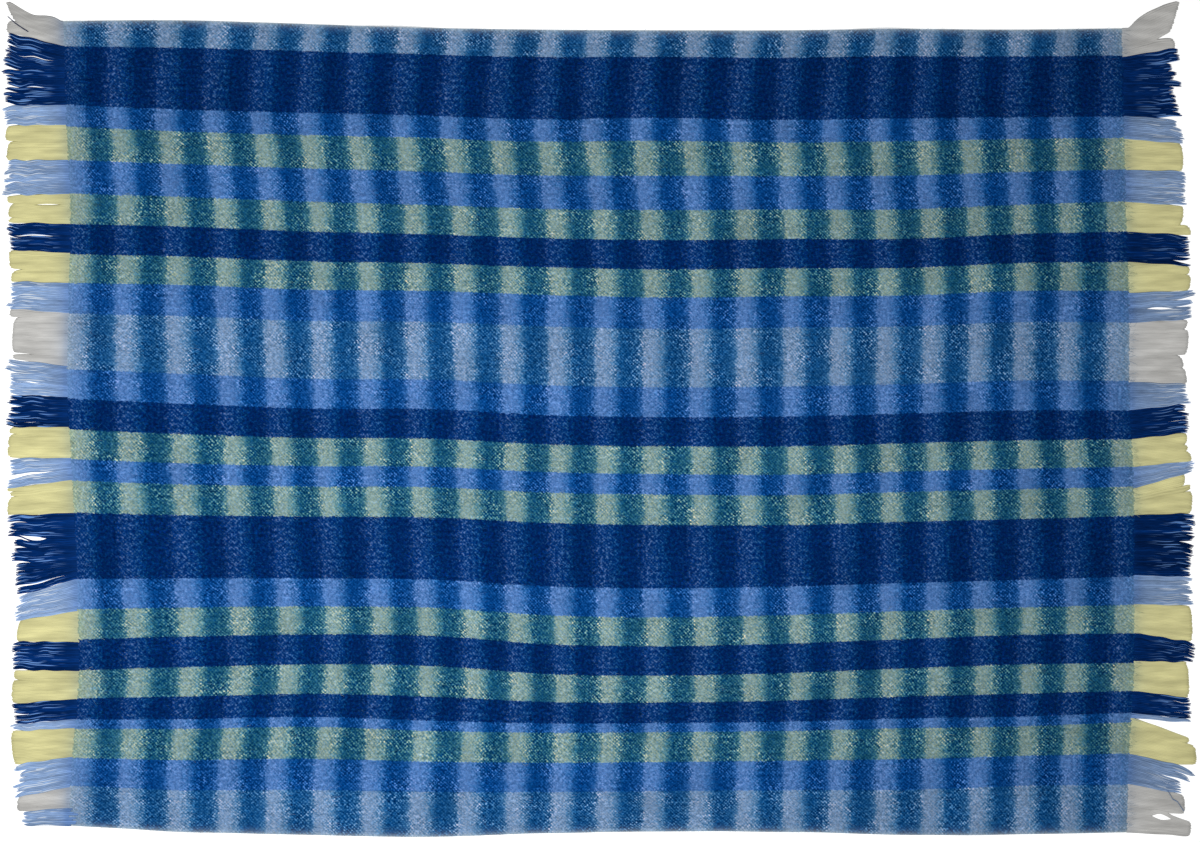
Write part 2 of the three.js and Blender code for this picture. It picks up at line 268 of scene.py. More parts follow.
RIGHT_LOCKS = (
    ("white", 75, 2.5, 34.5, 863),
    ("white", 85.5, 57, 69, 862),
    ("navy", 99, 70, 88, 867),
    ("navy", 109.5, 100.5, 106.5, 859),
    ("navy", 121.5, 108, 120.5, 862),
    ("navy", 130.5, 121.5, 130, 871),
    ("navy", 142.5, 132, 141, 860),
    ("navy", 156, 142.5, 154.5, 865),
    ("navy", 162, 156.5, 160.5, 866),
    ("navy", 169.5, 162, 167.5, 868),
    ("navy", 174, 168.5, 174, 869),
    ("periwinkle", 184.5, 184.5, 192, 865),
    ("periwinkle", 208.5, 194, 216, 874),
    ("yellow", 255, 217, 256.5, 874),
    ("periwinkle", 303, 257.5, 307, 877),
    ("yellow", 337.5, 312, 337.5, 874),
    ("yellow", 348, 339, 352.5, 885),
    ("navy", 384, 353.5, 383.5, 882),
    ("navy", 388.5, 385.5, 388.5, 885),
    ("navy", 393, 395.5, 399, 886),
    ("yellow", 411, 400, 411, 884),
    ("yellow", 439.5, 412.5, 435, 885),
    ("periwinkle", 454.5, 436, 445.5, 892),
    ("periwinkle", 462, 450, 457, 886),
    ("periwinkle", 484.5, 460.5, 478, 886),
    ("white", 496.5, 479, 493.5, 880),
    ("white", 534, 494.5, 529.5, 882),
    ("white", 550.5, 536.5, 550, 874),
    ("white", 573, 551.5, 576, 879),
    ("periwinkle", 591, 577, 589, 881),
    ("periwinkle", 615, 591, 604.5, 882),
    ("navy", 624, 605.5, 615, 878),
    ("navy", 658.5, 617.5, 647.5, 883),
    ("yellow", 675, 648.5, 664.5, 880),
    ("yellow", 684, 667, 675, 881),
    ("yellow", 700.5, 676, 690, 886),
    ("periwinkle", 732, 691, 705, 889),
    ("yellow", 745.5, 706, 720, 877),
    ("yellow", 751.5, 726, 731, 885),
    ("yellow", 772.5, 736.5, 769.5, 888),
    ("navy", 780, 770.5, 778, 888),
    ("navy", 798, 779.5, 796, 891),
    ("navy", 802.5, 798, 801, 889),
    ("navy", 811.5, 802.5, 810, 886),
    ("navy", 855, 817.5, 856, 887),
    ("navy", 862.5, 857.5, 865.5, 886),
    ("periwinkle", 876, 866.5, 876, 886),
    ("periwinkle", 891, 879, 890, 887),
    ("periwinkle", 906, 894, 906, 885),
    ("yellow", 949.5, 912, 964.5, 888),
    ("navy", 984, 965.5, 987, 891),
    ("navy", 991.5, 988.5, 993, 888),
    ("yellow", 1036.5, 994, 1048, 883),
    ("navy", 1069.5, 1049, 1079.5, 885),
    ("periwinkle", 1077, 1080.5, 1085, 886),
    ("yellow", 1090.5, 1110, 1117.5, 883),
    ("yellow", 1131, 1119, 1147, 894),
    ("periwinkle", 1138.5, 1156.5, 1164, 888),
    ("periwinkle", 1144.5, 1167, 1174.5, 882),
    ("periwinkle", 1176, 1180.5, 1194, 870),
    ("white", 1212, 1195, 1219.5, 877),
    ("white", 1248, 1233, 1254, 886),
)

# How the parting lines run out to their tips, as shares: along the lock, aside. The corner locks flare.
STRAIGHT = ((0.0, 0.0), (1.0, 1.0))
LEFT_CORNER = ((0.0, 0.0), (0.13, 0.21), (0.22, 0.27), (0.47, 0.36), (0.63, 0.58), (0.84, 1.0))
RIGHT_CORNER = ((0.0, 0.0), (0.09, 0.03), (0.17, 0.22), (0.33, 0.51), (0.58, 0.77), (0.84, 1.0))

# Most gaps between groups open near the tips; a few run in further. Root of the gap: share of the length.
GAP_OPENS = 0.68
LEFT_GAPS = {532.5: 0.4, 703.5: 0.2, 859.5: 0.05}
RIGHT_GAPS = {75.0: 0.5, 174.0: 0.5, 1077.0: 0.0, 1144.5: 0.45, 1212.0: 0.56}

# Long slits where yarns lie apart, in mm: from x, from y, to x, to y, opening
SLITS = (
    (-804, 325, -852, 325, 3.4),
    (-818, 540, -875, 550, 1.6),
    (-831, 499, -863, 501, 1.6),
    (-818, 278, -880, 279, 2.0),
    (-838, 52, -863, 64, 1.8),
    (-831, -176, -868, -178, 6.5),
    (820, 170, 859, 166, 4.0),
    (826, -586, 857, -602, 11.0),
)
SLIT_REACH = 14.0  # yarns further than this from a slit aren't pushed aside by it
SLIT_BLUNTNESS = 0.7  # slits end more bluntly than a sine does

DYES = ("navy", "periwinkle", "yellow", "white")
FELTED = ("yellow", "white")  # these yarns have felted together into smooth flat locks

# Lightness of the dullest and the brightest yarn of a dye, and how much hairs and painted soft shading vary
# it
YARN_TONES = {
    "navy": (0.60, 1.75, 0.40, 0.12),
    "periwinkle": (0.84, 1.50, 0.24, 0.12),
    "yellow": (0.82, 1.18, 0.05, 0.16),
    "white": (0.82, 1.18, 0.05, 0.15),
}
LOOSE_TINTS = {"periwinkle": (0.96, 1.00, 1.04)}  # how much purer loose yarns of a dye look than woven ones

# Painted highlights on hairs that catch the light: their colours, and where along the yarns of each end they
# start and are most, as shares of the length, and how far they then cover
PAINTED_HAIR_HIGHLIGHTS = {"navy": (0.140, 0.300, 0.660), "periwinkle": (0.580, 0.650, 0.740)}
HIGHLIGHT_GROWTH = {-1: (0.15, 0.45, 0.92), 1: (0.20, 0.70, 0.80)}

# Tones, from 0 for the dullest to 1 for the brightest: of groups, least and greatest, and of each end's first
# lock; what felted (True) and loose (False) yarns of the right end have more, as painted light and shade for
# how the light falls there; and how strands and yarns vary
GROUP_TONES = (0.4, 0.6)
# The left end's first lock gets a duller tone as painted shade, where it is lifted and turned
CORNER_TONES_AND_SHADE = {-1: 0.2, 1: 0.5}
RIGHT_END_PAINTED_LIGHT = {True: 0.38, False: -0.10}
STRAND_TONES_VARY = 0.12
YARN_TONES_VARY = {True: 0.06, False: 0.17}
PALER_TIPS = {-1: 0.20, 1: 0.12}  # how much paler the periwinkle yarns get towards their tips at each end
PALER_MEAN = 0.3  # the share of that by which they start duller, so that whole yarns stay about as bright

# How much of the weft's colour yarns have where they leave the weave, at the left and the right, and how far
# out that fades, in mm
WOVEN_SHARES = {
    "navy": (0.30, 0.10), "periwinkle": (0.62, 0.62), "yellow": (0.38, 0.38), "white": (0.62, 0.22),
}
WOVEN_FADE = 11.0

# Loose yarns cling together in strands of about this many. Edges between strands stray from their even places
# by a share of a strand at most, and wave by so many mm, least and greatest.
STRAND_YARNS = 2.8
EDGE_STRAY = 0.25
EDGE_WAVE_HEIGHTS = (0.4, 1.4)
EDGE_WAVE_LENGTHS = (20.0, 36.0)

# Some strands stand apart from the next one: the share of them at each end, the narrowest and widest gaps, in
# mm, where gaps start and end, as shares of the length, and how pointed they are
STRANDS_APART = {-1: 0.28, 1: 0.15}
STRAND_GAPS = {"navy": (0.1, 0.5), "periwinkle": (0.1, 0.7)}
GAP_STARTS = (0.05, 0.5)
GAP_ENDS = (0.8, 1.3)
GAP_POINTEDNESS = 1.2

# Waves of felted (True) and loose (False) groups and of single yarns, least and greatest, in mm
WAVE_LENGTHS = (32.0, 60.0)
WAVE_HEIGHTS = {True: (0.4, 1.0), False: (0.76, 1.9)}
OWN_WAVE_LENGTHS = (20.0, 40.0)
OWN_WAVE_HEIGHTS = (0.05, 0.25)

# Tips, in mm: how much further than its middle one side of a group reaches, how much strands and felted yarns
# of a dye differ and single loose yarns do, and how far the sides of felted locks fall back
TIPS_LEAN = 2.5
CORNER_LEAN = -6.0  # the first locks run out to a point on their outer side
TIPS_UNEVEN = {"navy": 1.1, "periwinkle": 1.6, "yellow": 0.35, "white": 0.35}
LOOSE_TIPS_UNEVEN = 0.6
TIPS_ROUNDING = 3.5

# Each side of a strand draws in by so many mm at its tip, from this share of its length on, and at this power
STRAND_POINTS = {"navy": 0.7, "periwinkle": 0.7, "yellow": 0.0, "white": 0.0}
POINTS_START = 0.86
POINTS_POWER = 1.5

# Cross-sections of felted (True) and loose (False) yarns: half width as a share of the room that each has,
# its least and greatest in mm, half height in mm and how that varies, and the share that tapers off at the
# tip, from which share of the length on
WIDTH_SHARES = {True: 0.95, False: 0.62}
HALF_WIDTHS = (0.5, 3.2)
HALF_HEIGHTS = {True: 0.35, False: 0.8}
HEIGHTS_VARY = (0.9, 1.1)
TAPER = 0.45
TAPER_START = 0.93
YARN_SIDES = 5
YARN_RINGS = 20
ROOT_POINT, ROOT_DIP, TIP_POINT = 1.5, 0.4, 0.8  # mm past, or below, the last ring for each closing point

# How yarns leave the weave, in mm: how far they run into it, least and greatest, their height there, and over
# what length they come down and thicken, and the share of their thickness that they start with
ROOT_DEPTH = (1.0, 4.0)
ROOT_HEIGHT = 2.0
DROP_LENGTH = 9.0
ROOT_RISE = 6.0
ROOT_THINNESS = 0.3
STRAGGLING = (-1, 1239)  # end and root of the one group that straggles over the weave
STRAGGLING_DEPTH = (2.0, 17.0)
STRAGGLING_LIFT = 0.8

# How high they lie past it: a felted lock's middle above its sides and the highest loose yarn, in mm, and the
# share of that which is gone at the tips
FELTED_DOME = 0.4
LOOSE_LIFT = 0.5
SETTLING = 0.6

# Yarns lying over the locks next to theirs: end, dye, and places along it in mm
STRAY_YARNS = (
    (-1, "navy", ((-858.0, 584.0), (-866.0, 589.0), (-877.0, 596.5), (-887.5, 606.0))),
    (1, "periwinkle", ((851.5, -555.0), (858.5, -567.0), (865.5, -570.5), (875.0, -584.5))),
)
STRAY_THICK, STRAY_HEIGHT, STRAY_TONE = 1.8, 2.3, 0.1

# The fringes' map of threads: metres along and round each yarn, and how far from it the next yarn lies
YARN_MAP = (0.1, 0.012)
YARN_MAP_STEP = (0.37, 0.05)

# Names of the UV maps: where on the weave a point is, in metres, and the map that bakes use
THREADS = "threads"
BAKE_MAP = "OFBake"
BAKE_COLUMNS = 4  # of yarns

# Names of the values that materials read at each vertex
TONE = "tone"
WOVEN = "woven"
PALE = "pale"


def linear(code):
    """The scene-linear colour of an sRGB hex code."""
    parts = [int(code[i:i + 2], 16) / 255 for i in (1, 3, 5)]
    return tuple(c / 12.92 if c <= 0.04045 else ((c + 0.055) / 1.055) ** 2.4 for c in parts)


class ThrowSizes(bpy.types.PropertyGroup):
    """Sizes of the throw."""

    woven_length: FloatProperty(
        name="Woven length", description="Length of the cloth along its warp, without the fringes",
        default=1.590, unit="LENGTH",
    )
    woven_width: FloatProperty(
        name="Woven width", description="Width of the cloth from edge to edge",
        default=1.208, unit="LENGTH",
    )
    thickness: FloatProperty(
        name="Thickness", description="Thickness of the weave under its nap",
        default=0.0024, unit="LENGTH",
    )
    cell: FloatProperty(
        name="Cell", description="Size of the sheet's faces",
        default=0.0064, unit="LENGTH",
    )
    nap_length: FloatProperty(
        name="Nap length", description="Length of a brushed-up fibre",
        default=0.013, unit="LENGTH",
    )
    nap_lift: FloatProperty(
        name="Nap lift", description="How far a fibre's crest stands off the weave",
        default=0.0009, unit="LENGTH",
    )
    nap_fibres: IntProperty(
        name="Nap fibres", description="Fibres in each third of the nap",
        default=31000, min=0, max=33000,
    )
    yarn_pitch: FloatProperty(
        name="Yarn pitch", description="Distance between fringe yarns at their roots",
        default=0.0024, unit="LENGTH",
    )


class ThrowColours(bpy.types.PropertyGroup):
    """Dyes of the yarns."""

    navy: FloatVectorProperty(
        name="Navy", description="Dye of the dark warp bands",
        subtype="COLOR", default=linear("#032458"),
    )
    periwinkle: FloatVectorProperty(
        name="Periwinkle", description="Dye of the mid blue warp bands",
        subtype="COLOR", default=linear("#7e94b4"),
    )
    yellow: FloatVectorProperty(
        name="Yellow", description="Dye of the pale yellow warp bands",
        subtype="COLOR", default=linear("#cbc690"),
    )
    white: FloatVectorProperty(
        name="Off-white", description="Undyed warp bands",
        subtype="COLOR", default=linear("#b9b8b5"),
    )


# Laying out


def curve_weights(knots, at):
    """How much each knot's value counts at each place, for a smooth curve through the knots."""
    knots = np.asarray(knots, float)
    at = np.clip(at, knots[0], knots[-1])
    cell = np.clip(np.searchsorted(knots, at, side="right") - 1, 0, len(knots) - 2)
    span = knots[cell + 1] - knots[cell]
    t = (at - knots[cell]) / span
    values = np.eye(len(knots))
    slopes = np.gradient(values, knots, axis=0)
    weights = ((1 + 2 * t) * (1 - t) ** 2)[:, None] * values[cell]
    weights += (t ** 2 * (3 - 2 * t))[:, None] * values[cell + 1]
    weights += (t * (1 - t) ** 2 * span)[:, None] * slopes[cell]
    weights += (t ** 2 * (t - 1) * span)[:, None] * slopes[cell + 1]
    return weights


def drift(rows, columns, along, across):
    """Values of a table of drifts at many places, smooth both ways."""
    row_weights = curve_weights(list(rows), along)
    column_weights = curve_weights(columns, across)
    return np.einsum("nr,rc,nc->n", row_weights, np.array(list(rows.values()), float), column_weights)


def ripple_lift(u, v):
    """How high the ripples lift points of the weave, in mm."""
    lift = np.zeros_like(u)
    for at_u, at_v, half_length, half_width, height in RIPPLES:
        across = np.minimum(1, np.abs(u - at_u) / half_width)
        along = np.minimum(1, np.abs(v - at_v) / half_length)
        lift += height * (1 + np.cos(np.pi * across)) * (1 + np.cos(np.pi * along)) / 4
    return lift


def lay(u, v):
    """Where points of the weave lie, all in mm: u along the warp and v across it, from the middle."""
    x = u + drift(PULL, PULL_ALONG, v, u)
    y = v + CLOTH_CENTRE_Y + drift(BOW, BOW_ACROSS, u, v)
    return np.stack([x, y, ripple_lift(u, v)], -1)


def soft_noise(x, y, size, seed):
    """Smooth random values from -1 to 1 with lumps of about this size, alike on every run."""
    cells = 64
    lattice = np.random.default_rng(seed).uniform(-1, 1, (cells, cells))
    px, py = x / size, y / size
    i, j = np.floor(px).astype(int), np.floor(py).astype(int)
    fx, fy = px - i, py - j
    fx, fy = fx * fx * (3 - 2 * fx), fy * fy * (3 - 2 * fy)
    left, right, down, up = i % cells, (i + 1) % cells, j % cells, (j + 1) % cells
    low = lattice[left, down] * (1 - fx) + lattice[right, down] * fx
    high = lattice[left, up] * (1 - fx) + lattice[right, up] * fx
    return low * (1 - fy) + high * fy


# Meshes


def corner_vertices(mesh):
    """The vertex at each face corner."""
    found = np.empty(len(mesh.loops), np.int32)
    mesh.loops.foreach_get("vertex_index", found)
    return found


def set_map(mesh, name, places):
    """Writes a UV map, one place for each face corner."""
    layer = mesh.uv_layers.get(name) or mesh.uv_layers.new(name=name)
    layer.uv.foreach_set("vector", np.ascontiguousarray(places, np.float32).ravel())


def set_values(mesh, name, values):
    """Writes an attribute that materials read, one value for each vertex."""
    layer = mesh.attributes.new(name, "FLOAT", "POINT")
    layer.data.foreach_set("value", np.ascontiguousarray(values, np.float32).ravel())


def new_piece(name, points, faces):
    """A piece made of these points and faces."""
    mesh = bpy.data.meshes.new(name)
    mesh.from_pydata(points.tolist(), [], faces)
    piece = bpy.data.objects.new(name, mesh)
    bpy.context.collection.objects.link(piece)
    return piece


def only(piece):
    """Makes this the one selected, active object."""
    bpy.ops.object.select_all(action="DESELECT")
    piece.select_set(True)
    bpy.context.view_layer.objects.active = piece


# Materials


def feed(tree, made, inputs):
    """Sets a node's inputs, by name or in order, each to a value or to another node's output."""
    for name, value in inputs.items() if isinstance(inputs, dict) else enumerate(inputs):
        if isinstance(value, bpy.types.NodeSocket):
            tree.links.new(value, made.inputs[name])
        else:
            made.inputs[name].default_value = value


def node(tree, kind, inputs=(), out=0, stops=None, **settings):
    """Adds a node with its settings, its ramp's stops and its inputs, and gives one of its outputs."""
    made = tree.nodes.new("ShaderNode" + kind)
    for name, value in settings.items():
        setattr(made, name, value)
    if stops:
        ramp = made.color_ramp
        while len(ramp.elements) < len(stops):
            ramp.elements.new(1.0)
        for element, (place, colour) in zip(ramp.elements, stops):
            element.position = place
            element.color = (*colour, 1.0) if isinstance(colour, tuple) else (colour, colour, colour, 1.0)
    feed(tree, made, inputs)
    return made.outputs[out]


def new_material(name):
    """A new material with its node tree and its shader."""
    material = bpy.data.materials.new(name)
    material.use_nodes = True
    return material, material.node_tree, material.node_tree.nodes["Principled BSDF"]


def sett_stops(colours, first, last):
    """Ramp stops for the bands between two shares of the width, with hard edges."""
    total = sum(width for dye, width in SETT)
    stops = []
    start = 0.0
    for dye, width in SETT:
        end = start + width / total
        if end > first and start < last:
            place = max(0.0, (start - first) / (last - first))
            stops.append((place, tuple(getattr(colours, dye))))
        start = end
    return stops


def fade_stops(first, last, start=0.0, end=1.0):
    """Ramp stops that fade from one colour to another as filters do, or past both of them."""
    steps = 8
    stops = []
    for step in range(steps + 1):
        share = start + (end - start) * step / steps
        stops.append((step / steps, tuple(a * (b / a) ** share for a, b in zip(first, last))))
    return stops


def streaks(tree, place, length, width, detail):
    """Noise in streaks of this length along the warp and this width across it, in metres."""
    stretched = node(tree, "VectorMath", (place, (1 / length, 1 / width, 1.0)), operation="MULTIPLY")
    return node(tree, "TexNoise", {"Vector": stretched, "Scale": 1.0, "Detail": detail})


def warp_bands(tree, across, sizes, colours):
    """The warp's colour by place across the cloth, from two ramps, as one can't hold every band."""
    half = sizes.woven_width / 2
    down = node(tree, "MapRange", {"Value": across, "From Min": half, "From Max": -half})
    upper_place = node(tree, "Math", (down, 2.0), operation="MULTIPLY")
    lower_place = node(tree, "Math", (upper_place, 1.0), operation="SUBTRACT")
    upper = node(tree, "ValToRGB", {"Fac": upper_place}, stops=sett_stops(colours, 0.0, 0.5))
    lower = node(tree, "ValToRGB", {"Fac": lower_place}, stops=sett_stops(colours, 0.5, 1.0))
    upper.node.color_ramp.interpolation = lower.node.color_ramp.interpolation = "CONSTANT"
    is_lower = node(tree, "Math", (down, 0.5), operation="GREATER_THAN")
    return node(tree, "Mix", {"Factor": is_lower, 6: upper, 7: lower}, out=2, data_type="RGBA")


def weft_phase(tree, place, along, warp, sizes):
    """How far into the weft's repeat a place is, from 0 to 1."""
    # Stripes wander by a millimetre or two from pick to pick
    wander = node(tree, "TexNoise", {"Vector": place, "Scale": 1 / 0.020, "Detail": 1.0})
    wandered = node(tree, "Math", (wander, WANDER, along), operation="MULTIPLY_ADD")
    start = (WANDER - sizes.woven_length) / 2
    end = start + (LIGHT_STRIPE + DARK_STRIPE) * MM
    repeats = node(tree, "MapRange", {"Value": wandered, "From Min": start, "From Max": end}, clamp=False)
    # They lie further along where the warp is yellow
    warp_parts = node(tree, "SeparateColor", (warp,)).node.outputs
    redness = node(tree, "Math", (warp_parts["Red"], warp_parts["Blue"]), operation="SUBTRACT")
    yellowness = node(tree, "Math", (redness, 0.0), operation="MAXIMUM")
    lagging = node(tree, "Math", (yellowness, -YELLOW_LAG, repeats), operation="MULTIPLY_ADD")
    return node(tree, "Math", (lagging,), operation="FRACT")


def twill_lines(tree, place):
    """Two sets of slanting lines on which warp and weft come up by turns."""
    wobble = node(tree, "TexNoise", {"Vector": place, "Scale": 1 / 0.030, "Detail": 1.0}, out="Color")
    reach = (0.008, 0.008, 0.0)
    wobbled = node(tree, "VectorMath", (wobble, reach, place), operation="MULTIPLY_ADD")
    places = node(tree, "SeparateXYZ", (wobbled,)).node.outputs
    waves = []
    for way in ("ADD", "SUBTRACT"):
        slant = node(tree, "Math", (places["X"], places["Y"]), operation=way)
        turn = node(tree, "Math", (slant, 2 * math.pi / TWILL_PITCH), operation="MULTIPLY")
        waves.append(node(tree, "Math", (turn,), operation="SINE"))
    falling, rising = waves
    weaker = node(tree, "Math", (rising, RISING_LINES), operation="MULTIPLY")
    return node(tree, "Math", (falling, FALLING_LINES, weaker), operation="MULTIPLY_ADD")


def weft_hairs(tree, place, lines, phase):
    """The colour that hairs of the weft add, lying on top in dots of their own."""
    elsewhere = (3.7, 1.9, 0.0)  # so that these dots aren't those of the twill
    hair_place = node(tree, "VectorMath", (place, elsewhere), operation="ADD")
    hair = node(tree, "TexNoise", {"Vector": hair_place, **SPECKS})
    hair_lines = node(tree, "Math", (lines, HAIR_LINES, hair), operation="MULTIPLY_ADD")
    hairy = node(tree, "MapRange", {"Value": hair_lines, "From Min": 0.32, "From Max": 0.68})
    light = node(tree, "ValToRGB", {"Fac": hairy}, stops=fade_stops(LIGHT_FEW_HAIRS, LIGHT_MANY_HAIRS))
    dark = node(tree, "ValToRGB", {"Fac": hairy}, stops=fade_stops(DARK_FEW_HAIRS, DARK_MANY_HAIRS))
    fade = node(tree, "ValToRGB", {"Fac": phase}, stops=HAIR_FADE)
    lighter = node(tree, "VectorMath", (light, dark), operation="SUBTRACT")
    return node(tree, "VectorMath", (lighter, fade, dark), operation="MULTIPLY_ADD")


def bare_warp(tree, place, sizes):
    """How far the warp shows: at the ends, where the picks thin out, and along the selvedges."""
    fades = (1 / (END_FADE * MM), 1 / (SELVEDGE_FADE * MM), 0.0)
    edges = (-sizes.woven_length / 2 * fades[0], -sizes.woven_width / 2 * fades[1], 0.0)
    from_middle = node(tree, "VectorMath", (place,), operation="ABSOLUTE")
    past_edge = node(tree, "VectorMath", (from_middle, fades, edges), operation="MULTIPLY_ADD")
    past_parts = node(tree, "SeparateXYZ", (past_edge,)).node.outputs
    bare_end = node(tree, "Math", (past_parts["X"],), operation="EXPONENT")
    bare_side = node(tree, "Math", (past_parts["Y"],), operation="EXPONENT")
    bare_both = node(tree, "Math", (bare_end, bare_side), operation="ADD")
    return node(tree, "Math", (bare_both, BARE), operation="MULTIPLY")


def plaid(tree, sizes, colours, twill):
    """The plaid's colour by place on the weave, and which of the two threads is up there.

    The blue weft lies over the warp like tinted glass: it filters the warp's colour and adds some of its own.
    """
    place = node(tree, "UVMap", uv_map=THREADS)
    fibre = streaks(tree, place, 0.012, 0.0014, 2.0)  # brushed fibres, drawn wide to show
    grain = node(tree, "TexNoise", {"Vector": place, "Scale": 1 / 0.0027, "Detail": 0.0})

    # Edges of bands and stripes are ragged by about a thread
    stray = node(tree, "Math", (fibre, grain), operation="SUBTRACT")
    stray_both = node(tree, "CombineXYZ", {"X": stray, "Y": stray})
    ragged = (0.0045, 0.003, 0.0)
    strayed = node(tree, "VectorMath", (stray_both, ragged, place), operation="MULTIPLY_ADD")
    parts = node(tree, "SeparateXYZ", (strayed,)).node.outputs
    warp = warp_bands(tree, parts["Y"], sizes, colours)
    phase = weft_phase(tree, place, parts["X"], warp, sizes)
    density = node(tree, "ValToRGB", {"Fac": phase}, stops=WEFT_DENSITY)
    contrast = node(tree, "ValToRGB", {"Fac": phase}, stops=SPECKLE_CONTRAST)

    # On the cloth hairs break up the twill, and each fibre of the nap has a tone of its own
    lines = twill_lines(tree, place)
    if twill:
        fuzz = node(tree, "TexNoise", {"Vector": place, **SPECKS})
        fuzzy = node(tree, "Math", (fuzz, lines), operation="ADD")
        weft_up = node(tree, "MapRange", {"Value": fuzzy, "From Min": 0.29, "From Max": 0.71})
    else:
        weft_up = node(tree, "Attribute", out="Fac", attribute_name=TONE)

    # The nap hides the twill in patches
    patch = node(tree, "TexNoise", {"Vector": place, "Scale": 1 / 0.034, "Detail": 2.0})
    shown = node(tree, "MapRange", {
        "Value": patch, "From Min": 0.35, "From Max": 0.65, "To Min": 0.5, "To Max": 1.3,
    })
    signed = node(tree, "Math", (weft_up, 0.5), operation="SUBTRACT")
    speckle = node(tree, "Math", (signed, shown), operation="MULTIPLY")
    dense = node(tree, "Math", (speckle, contrast, density), operation="MULTIPLY_ADD")
    dense_place = node(tree, "MapRange", {"Value": dense, "From Min": THINNEST, "From Max": DENSEST})
    tints = fade_stops(LIGHT_TINT, DARK_TINT, THINNEST, DENSEST)
    tint = node(tree, "ValToRGB", {"Fac": dense_place}, stops=tints)
    filtered = node(tree, "VectorMath", (warp, tint), operation="MULTIPLY")
    # Painted shade of the weave's relief: where the warp is up it is painted lighter, where the weft is up
    # darker
    dip = node(tree, "Math", (contrast, -PAINTED_RELIEF_SHADE[1], -PAINTED_RELIEF_SHADE[0]), operation="MULTIPLY_ADD")
    relief_shade = node(tree, "Math", (speckle, dip, 1.0), operation="MULTIPLY_ADD")
    through = node(tree, "VectorMath", {0: filtered, "Scale": relief_shade}, operation="SCALE")
    hairs = weft_hairs(tree, place, lines, phase)
    mixed = node(tree, "VectorMath", (through, hairs), operation="ADD")
    blue_part = (0.0, 0.0, RED_LOSS)
    loss = node(tree, "VectorMath", (mixed, blue_part), out="Value", operation="DOT_PRODUCT")
    deepened = node(tree, "VectorMath", (loss, (-1.0, 0.0, 0.0), mixed), operation="MULTIPLY_ADD")
    least = (0.0005, 0.0, 0.0)
    woven = node(tree, "VectorMath", (deepened, least), operation="MAXIMUM")
    bare = bare_warp(tree, strayed, sizes)
    tinged = node(tree, "VectorMath", (warp, BARE_TINT), operation="MULTIPLY")
    cloth = node(tree, "Mix", {"Factor": bare, 6: woven, 7: tinged}, out=2, data_type="RGBA")

    # Fibres and ribs of weft make it lighter and darker; soft clouds of painted light and shade stand for the
    # way that the nap lies
    painted_shade_cloud = node(tree, "TexNoise", {"Vector": place, "Scale": 1 / 0.085, "Detail": 2.0})
    rib = streaks(tree, place, 0.0024, 0.014, 1.0)  # ribs run across the warp and are drawn wide to show
    colour = cloth
    for noise, depth in ((fibre, 0.14), (painted_shade_cloud, 0.12), (rib, 0.10)):
        light = node(tree, "MapRange", {
            "Value": noise, "From Min": 0.25, "From Max": 0.75, "To Min": 1 - depth, "To Max": 1 + depth,
        })
        colour = node(tree, "VectorMath", {0: colour, "Scale": light}, operation="SCALE")
    return colour, weft_up


def brushed_plaid_twill(sizes, colours):
    """Brushed wool twill: matt, with the weave's speckle showing through a soft combed nap."""
    material, tree, shader = new_material("brushed_plaid_twill")
    colour, weft_up = plaid(tree, sizes, colours, twill=True)
    bump = node(tree, "Bump", {"Height": weft_up, "Strength": 0.3, "Distance": 0.4 * MM})
    feed(tree, shader, {
        "Base Color": colour, "Normal": bump, "Roughness": 0.95, "Specular IOR Level": 0.0,
        "Sheen Weight": 0.04, "Sheen Roughness": 0.4, "Sheen Tint": (*linear("#5f82c8"), 1.0),
    })
    return material


def combed_nap(sizes, colours):
    """Combed-up wool fibre in the colours of the weave that it was brushed from: matt and faintly downy."""
    material, tree, shader = new_material("combed_nap_fibre")
    colour = plaid(tree, sizes, colours, twill=False)[0]
    feed(tree, shader, {"Base Color": colour, "Roughness": 0.9, "Specular IOR Level": 0.0})
    return material


